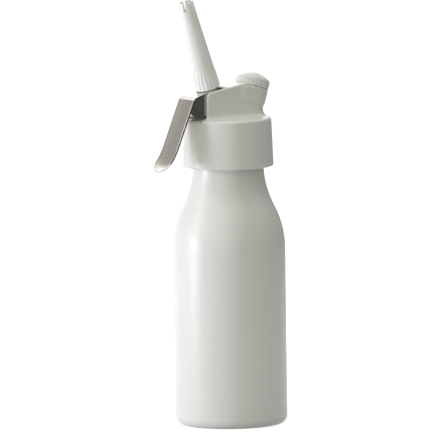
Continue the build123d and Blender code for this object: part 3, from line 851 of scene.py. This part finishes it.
def make_shell():
    """The moulded shell as one net, shaded by its field's own slope."""
    low = (-SHELL_REACH, -SHELL_REACH, SHELL_LOW_Z)
    high = (SHELL_REACH, SHELL_REACH, SHELL_HIGH_Z)
    points, faces = surface_net(shell_field, low, high, SHELL_STEP)
    shell = piece("head_moulding", points, faces.tolist(), UPRIGHT, "head", "head_plastic", smooth_deg=180)
    slope = gradient(shell_field, points, NORMAL_REACH)
    slope /= np.maximum(np.linalg.norm(slope, axis=1), LEAST_NORMAL)[:, None]
    shell.data.normals_split_custom_set_from_vertices([tuple(normal) for normal in slope])
    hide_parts("head_shell")


# The nozzle, the cap and the springs


def notch_depth(turn):
    """How far the nozzle's edge drops at a turn about its axis, for its round-ended notches."""
    spacing = 2 * math.pi / NOTCH_COUNT
    off = abs((turn + spacing / 2) % spacing - spacing / 2)
    reach = NOZZLE_TIP_R * math.sin(off)
    half = NOTCH_W / 2
    if reach >= half:
        return 0.0
    return NOTCH_L - half + math.sqrt(half**2 - reach**2)


def nozzle_turns():
    """Turns of the nozzle's columns: even, with pairs close together at the notches' sides."""
    edge = math.asin(NOTCH_W / 2 / NOZZLE_TIP_R)
    land = 2 * math.pi / NOTCH_COUNT - 2 * edge
    turns = []
    for i in range(NOTCH_COUNT):
        middle = 2 * math.pi * i / NOTCH_COUNT
        turns += [middle + edge * share for share in NOTCH_COLUMNS]
        turns += [middle + edge + land * k / LAND_COLUMNS for k in range(LAND_COLUMNS + 1)]
    return turns


def outer_r(height, turn):
    """Outer radius of the nozzle's tapered wall, with its grip ribs."""
    slope = (NOZZLE_BASE_R - NOZZLE_TIP_R) / NOZZLE_L
    across = abs(from_nearest(turn, RIB_COUNT)) * 2 * math.pi / RIB_COUNT * NOZZLE_BASE_R
    bump = max(0.0, 1 - (across / RIB_W * RIB_NARROWING) ** 2) ** RIB_ROUNDNESS
    fade = min(1.0, max(0.0, (NOZZLE_START + RIB_L - height) / RIB_RUNOUT))
    fade *= min(1.0, (height - NOZZLE_START) / RIB_LEAD)
    return NOZZLE_BASE_R - slope * (height - NOZZLE_START) + RIB_PROUD * bump * fade


def bore_r(height, _turn):
    """Inner radius of the nozzle above its shoulder."""
    slope = (NOZZLE_THROAT_R - NOZZLE_TIP_R + NOZZLE_TIP_WALL) / (NOZZLE_TOP - NOZZLE_SHOULDER)
    return NOZZLE_THROAT_R - slope * (height - NOZZLE_SHOULDER)


def socket_r(_height, _turn):
    """Inner radius of the nozzle's threaded socket."""
    return NOZZLE_SOCKET_R


def nozzle_rows():
    """Rings of the nozzle: round its rim, up the outside, over the notched tip and down the bore."""
    turns = nozzle_turns()
    edges = [NOZZLE_TOP - notch_depth(turn) for turn in turns]
    split = NOZZLE_TOP - NOTCH_L - TIP_MARGIN

    def row(radius_at, heights, wider=0.0):
        radii = [radius_at(height, turn) + wider for height, turn in zip(heights, turns)]
        return [(r * math.cos(t), r * math.sin(t), h) for r, t, h in zip(radii, turns, heights)]

    def level(height):
        return [height] * len(turns)

    def towards_edges(share):
        return [split + (edge - split) * share for edge in edges]

    def below_edges(drop):
        return [edge - drop for edge in edges]

    rib_rows = np.linspace(NOZZLE_START + SOCKET_CHAMFER, NOZZLE_START + RIB_L, RIB_ROWS)
    rows = [
        row(socket_r, level(NOZZLE_START + SOCKET_CHAMFER)),
        row(socket_r, level(NOZZLE_START), SOCKET_CHAMFER),
        row(outer_r, level(NOZZLE_START), -NOZZLE_RIM_CHAMFER),
    ]
    rows += [row(outer_r, level(height)) for height in (*rib_rows, *NOZZLE_OUTER_ROWS, split)]
    rows += [row(outer_r, towards_edges(share)) for share in TIP_ROW_SHARES]
    rows += [row(outer_r, below_edges(drop), -inwards) for inwards, drop in TIP_OUTER_ROUND]
    rows += [row(bore_r, below_edges(drop), outwards) for outwards, drop in TIP_INNER_ROUND]
    rows += [row(bore_r, towards_edges(share)) for share in reversed(TIP_ROW_SHARES)]
    rows += [row(bore_r, level(height)) for height in (split, *NOZZLE_BORE_ROWS, NOZZLE_SHOULDER)]
    rows.append(row(socket_r, level(NOZZLE_SHOULDER)))
    return rows


def make_nozzle():
    """A tapered tube with a threaded socket, fading grip ribs and a notched tip."""
    points, faces = grid(nozzle_rows(), closed_rows=True)
    nozzle = piece("decorator_nozzle", points, faces, VALVE, "nozzle", "nozzle_plastic", smooth_deg=35)
    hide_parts("nozzle")
    thread("nipple_thread", VALVE, "valve", "turned_steel", NIPPLE_R, FINE_RIDGE, FINE_PITCH, NIPPLE_SPAN)
    socket = (NOZZLE_SOCKET_R, -FINE_RIDGE, FINE_PITCH, NOZZLE_SPAN)
    thread("nozzle_thread", VALVE, "nozzle", "nozzle_plastic", *socket, phase=0.5)


def cap_outline():
    """Outline from the crown over the rim to the bore's ceiling, and the height of its corner."""
    dome_r = (CAP_R**2 + CAP_CROWN**2) / (2 * CAP_CROWN)
    turn = math.degrees(math.asin(CAP_R / dome_r))
    edge_h = CAP_TOP - CAP_CROWN
    setback = CAP_CORNER_R * math.tan(math.radians(90 - turn) / 2)
    corner_h = edge_h - setback
    dome = arc((0, CAP_TOP - dome_r), dome_r, 90, 90 - turn, steps=24)
    outline = [(r, h) for r, h in dome if math.hypot(CAP_R - r, edge_h - h) > setback]
    outline += arc((CAP_R - CAP_CORNER_R, corner_h), CAP_CORNER_R, 90 - turn, 0, steps=8)
    outline += [(CAP_R, corner_h - FLUTE_ROW_STEP * k) for k in range(1, 4)]
    outline += [(CAP_R - inwards, CAP_RIM + up) for inwards, up in CAP_RIM_ROUND]
    outline += [(CAP_BORE_R + CAP_BORE_CHAMFER, CAP_RIM), (CAP_BORE_R, CAP_RIM + CAP_BORE_CHAMFER)]
    outline += [(CAP_BORE_R, CAP_CEILING), (0.0, CAP_CEILING)]
    return outline, corner_h


def flute_depth(turn):
    """How deep the scallops cut into the cap's side at a turn about its axis."""
    centre_r = CAP_R + FLUTE_R - FLUTE_D
    half_turn = math.acos((CAP_R**2 + centre_r**2 - FLUTE_R**2) / (2 * CAP_R * centre_r))
    off = from_nearest(turn, FLUTE_COUNT) * (2 * math.pi / FLUTE_COUNT)
    if abs(off) >= half_turn:
        return 0.0
    reach = math.sqrt(max(FLUTE_R**2 - (centre_r * math.sin(off)) ** 2, 0))
    return CAP_R - centre_r * math.cos(off) + reach


def make_cap():
    """A domed cap with scalloped flutes round its side and a threaded bore."""
    outline, corner_h = cap_outline()
    rows = []
    for radius, height in outline:
        row = ring(radius, height, FLUTE_COUNT * FLUTE_COLUMNS)
        below = corner_h + FLUTE_MARGIN - height
        if radius >= CAP_R - FLUTE_MARGIN and below >= 0:
            fade = min(1.0, below / FLUTE_FADE)
            turns = [math.atan2(y, x) for x, y, _ in row]
            radii = [radius - flute_depth(turn) * fade for turn in turns]
            row = [(r * math.cos(t), r * math.sin(t), height) for r, t in zip(radii, turns)]
        rows.append(row)
    points, faces = grid(rows)
    faces = [face[::-1] for face in faces]
    cap = piece("port_cap_moulding", points, faces, PORT, "cap", "cap_plastic", smooth_deg=35)
    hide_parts("port_cap")
    thread("sleeve_thread", PORT, "head", "turned_steel", SLEEVE_R, FINE_RIDGE, FINE_PITCH, SLEEVE_SPAN)
    cap_bore = (CAP_BORE_R, -FINE_RIDGE, FINE_PITCH, CAP_SPAN)
    thread("cap_thread", PORT, "cap", "cap_plastic", *cap_bore, phase=0.35)


def squash_spring(spring):
    """Gives a spring a mesh of its own."""
    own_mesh(spring)


def make_springs():
    """Both coil springs, in place of their CAD nodes, each with a mesh of its own."""
    sizes = (VALVE_COIL_R, VALVE_WIRE_R, GUIDE_TOP_H, COLLAR_BOTTOM, VALVE_COIL_TURNS)
    spring = coil_spring("valve_return_spring", VALVE, "head", *sizes)
    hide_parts("valve_spring")
    squash_spring(spring)
    sizes = (CHECK_COIL_R, CHECK_WIRE_R, CHECK_LEDGE, CHECK_TOP, CHECK_COIL_TURNS)
    spring = coil_spring("check_return_spring", PORT, "head", *sizes)
    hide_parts("check_spring")
    squash_spring(spring)


def dress_nodes():
    """The CAD nodes that stay get their finish."""
    slots = {part["node"]: part["material_slot"] for part in frame["record"]["subparts"]}
    for name, obj in nodes.items():
        obj.data.materials[0] = finishes[slots[name]].material


# The stage


def direction_out(azimuth, elevation):
    """Direction out from the object, with the azimuth counted from -Y towards +X."""
    level = math.cos(elevation)
    return Vector((math.sin(azimuth) * level, -math.cos(azimuth) * level, math.sin(elevation)))


def make_camera():
    """A long lens at the angle, scale and roll of the view, aimed from the object's origin."""
    back = direction_out(CAMERA_AZIMUTH, CAMERA_ELEVATION)
    level_right = Vector((math.cos(CAMERA_AZIMUTH), math.sin(CAMERA_AZIMUTH), 0))
    level_up = back.cross(level_right)
    right = level_right * math.cos(CAMERA_ROLL) - level_up * math.sin(CAMERA_ROLL)
    up = level_up * math.cos(CAMERA_ROLL) + level_right * math.sin(CAMERA_ROLL)
    off_right = (IMAGE_PX / 2 - ORIGIN_PX[0]) / PX_PER_MM
    off_up = (ORIGIN_PX[1] - IMAGE_PX / 2) / PX_PER_MM
    target = right * off_right + up * off_up
    data = bpy.data.cameras.new("camera")
    data.sensor_width = SENSOR
    data.lens = SENSOR * PX_PER_MM * CAMERA_DISTANCE / IMAGE_PX
    data.clip_start, data.clip_end = CLIP_RANGE_M
    camera = add_object("camera", data)
    axes = Matrix((right, up, back)).transposed().to_4x4()
    camera.matrix_world = Matrix.Translation((target + back * CAMERA_DISTANCE) * MM) @ axes
    bpy.context.scene.camera = camera


def area_light(name, azimuth_deg, elevation_deg, distance, size, power, color):
    """A square soft light at an angle round the object, aimed at its middle."""
    out = direction_out(math.radians(azimuth_deg), math.radians(elevation_deg))
    data = bpy.data.lights.new(name, "AREA")
    data.size = size
    data.energy = power
    data.color = color
    light = add_object(name, data)
    light.location = LIGHT_AIM + out * distance
    light.rotation_euler = out.to_track_quat("Z", "Y").to_euler()


def background_rays(tree):
    """1 for the rays that show the white background: from the camera, glossy and transmitted."""
    path = tree.nodes.new("ShaderNodeLightPath")
    last = path.outputs["Is Camera Ray"]
    for kind in ("Is Glossy Ray", "Is Transmission Ray"):
        either = tree.nodes.new("ShaderNodeMath")
        either.operation = "MAXIMUM"
        tree.links.new(last, either.inputs[0])
        tree.links.new(path.outputs[kind], either.inputs[1])
        last = either.outputs["Value"]
    return last


def make_world():
    """A white background, and a plain dimmer surround that lights the object."""
    world = bpy.data.worlds.new("studio")
    bpy.context.scene.world = world
    world.use_nodes = True
    tree = world.node_tree
    tree.nodes.clear()
    output = tree.nodes.new("ShaderNodeOutputWorld")
    mix = tree.nodes.new("ShaderNodeMixShader")
    surround = tree.nodes.new("ShaderNodeBackground")
    set_inputs(surround, {"Color": SURROUND_COLOR, "Strength": SURROUND_STRENGTH})
    white = tree.nodes.new("ShaderNodeBackground")
    set_inputs(white, {"Color": (1, 1, 1, 1)})
    tree.links.new(background_rays(tree), mix.inputs["Fac"])
    tree.links.new(surround.outputs["Background"], mix.inputs[1])
    tree.links.new(white.outputs["Background"], mix.inputs[2])
    tree.links.new(mix.outputs["Shader"], output.inputs["Surface"])


def stage_sheet(name, corners, material):
    """A flat sheet of the studio, with one face through its corners."""
    mesh = bpy.data.meshes.new(name)
    mesh.from_pydata(corners, [], [tuple(range(len(corners)))])
    mesh.materials.append(material)
    return add_object(name, mesh)


def make_card(name, towards, size, color):
    """A studio card out of the camera's view, which only reflections show."""
    out = Vector(towards).normalized()
    side = out.orthogonal().normalized()
    other = out.cross(side)
    middle = CARD_AIM + out * CARD_DISTANCE
    turns = [(i + 0.5) * 2 * math.pi / CARD_SIDES for i in range(CARD_SIDES)]
    corners = [middle + (side * math.cos(t) + other * math.sin(t)) * size / 2 for t in turns]
    material = new_material(name)
    shader = material.node_tree.nodes["Principled BSDF"]
    set_inputs(shader, {"Base Color": (0, 0, 0, 1), "Specular IOR Level": 0.0})
    set_inputs(shader, {"Emission Color": (*color, 1), "Emission Strength": 1.0})
    card = stage_sheet(name, corners, material)
    card.visible_camera = card.visible_diffuse = card.visible_shadow = False


def make_floor():
    """A pale floor that looks white, keeps the object's real faint shadow, and has a painted shade under
    it where its glow is lowered.
    """
    grey = (FLOOR_GREY, FLOOR_GREY, FLOOR_GREY, 1)
    material = new_material("pale_floor")
    tree = material.node_tree
    shader = tree.nodes["Principled BSDF"]
    set_inputs(shader, {"Base Color": grey, "Roughness": 0.9, "Specular IOR Level": 0.0})
    set_inputs(shader, {"Emission Color": (1, 1, 1, 1)})
    place = tree.nodes.new("ShaderNodeTexCoord")
    away = tree.nodes.new("ShaderNodeVectorMath")
    away.operation = "LENGTH"
    tree.links.new(place.outputs["Object"], away.inputs[0])
    # Painted shade: the glow is lowered near the object and rises to full white further out
    level = tree.nodes.new("ShaderNodeMapRange")
    set_inputs(level, {"From Min": GLOW_START, "From Max": GLOW_END})
    set_inputs(level, {"To Min": PAINTED_SHADE_GLOW, "To Max": 1.0})
    tree.links.new(away.outputs["Value"], level.inputs["Value"])
    glow = tree.nodes.new("ShaderNodeMath")
    glow.operation = "MULTIPLY"
    tree.links.new(background_rays(tree), glow.inputs[0])
    tree.links.new(level.outputs["Result"], glow.inputs[1])
    tree.links.new(glow.outputs["Value"], shader.inputs["Emission Strength"])
    sides = ((-1, -1), (1, -1), (1, 1), (-1, 1))
    floor = stage_sheet("floor", [(x * FLOOR_REACH, y * FLOOR_REACH, 0) for x, y in sides], material)


make_bottle()
make_shell()
make_nozzle()
make_cap()
make_springs()
dress_nodes()
make_camera()
make_world()
make_floor()
for light in LIGHTS:
    area_light(*light)
for card in CARDS:
    make_card(*card)
bpy.context.scene.view_settings.view_transform = "Standard"
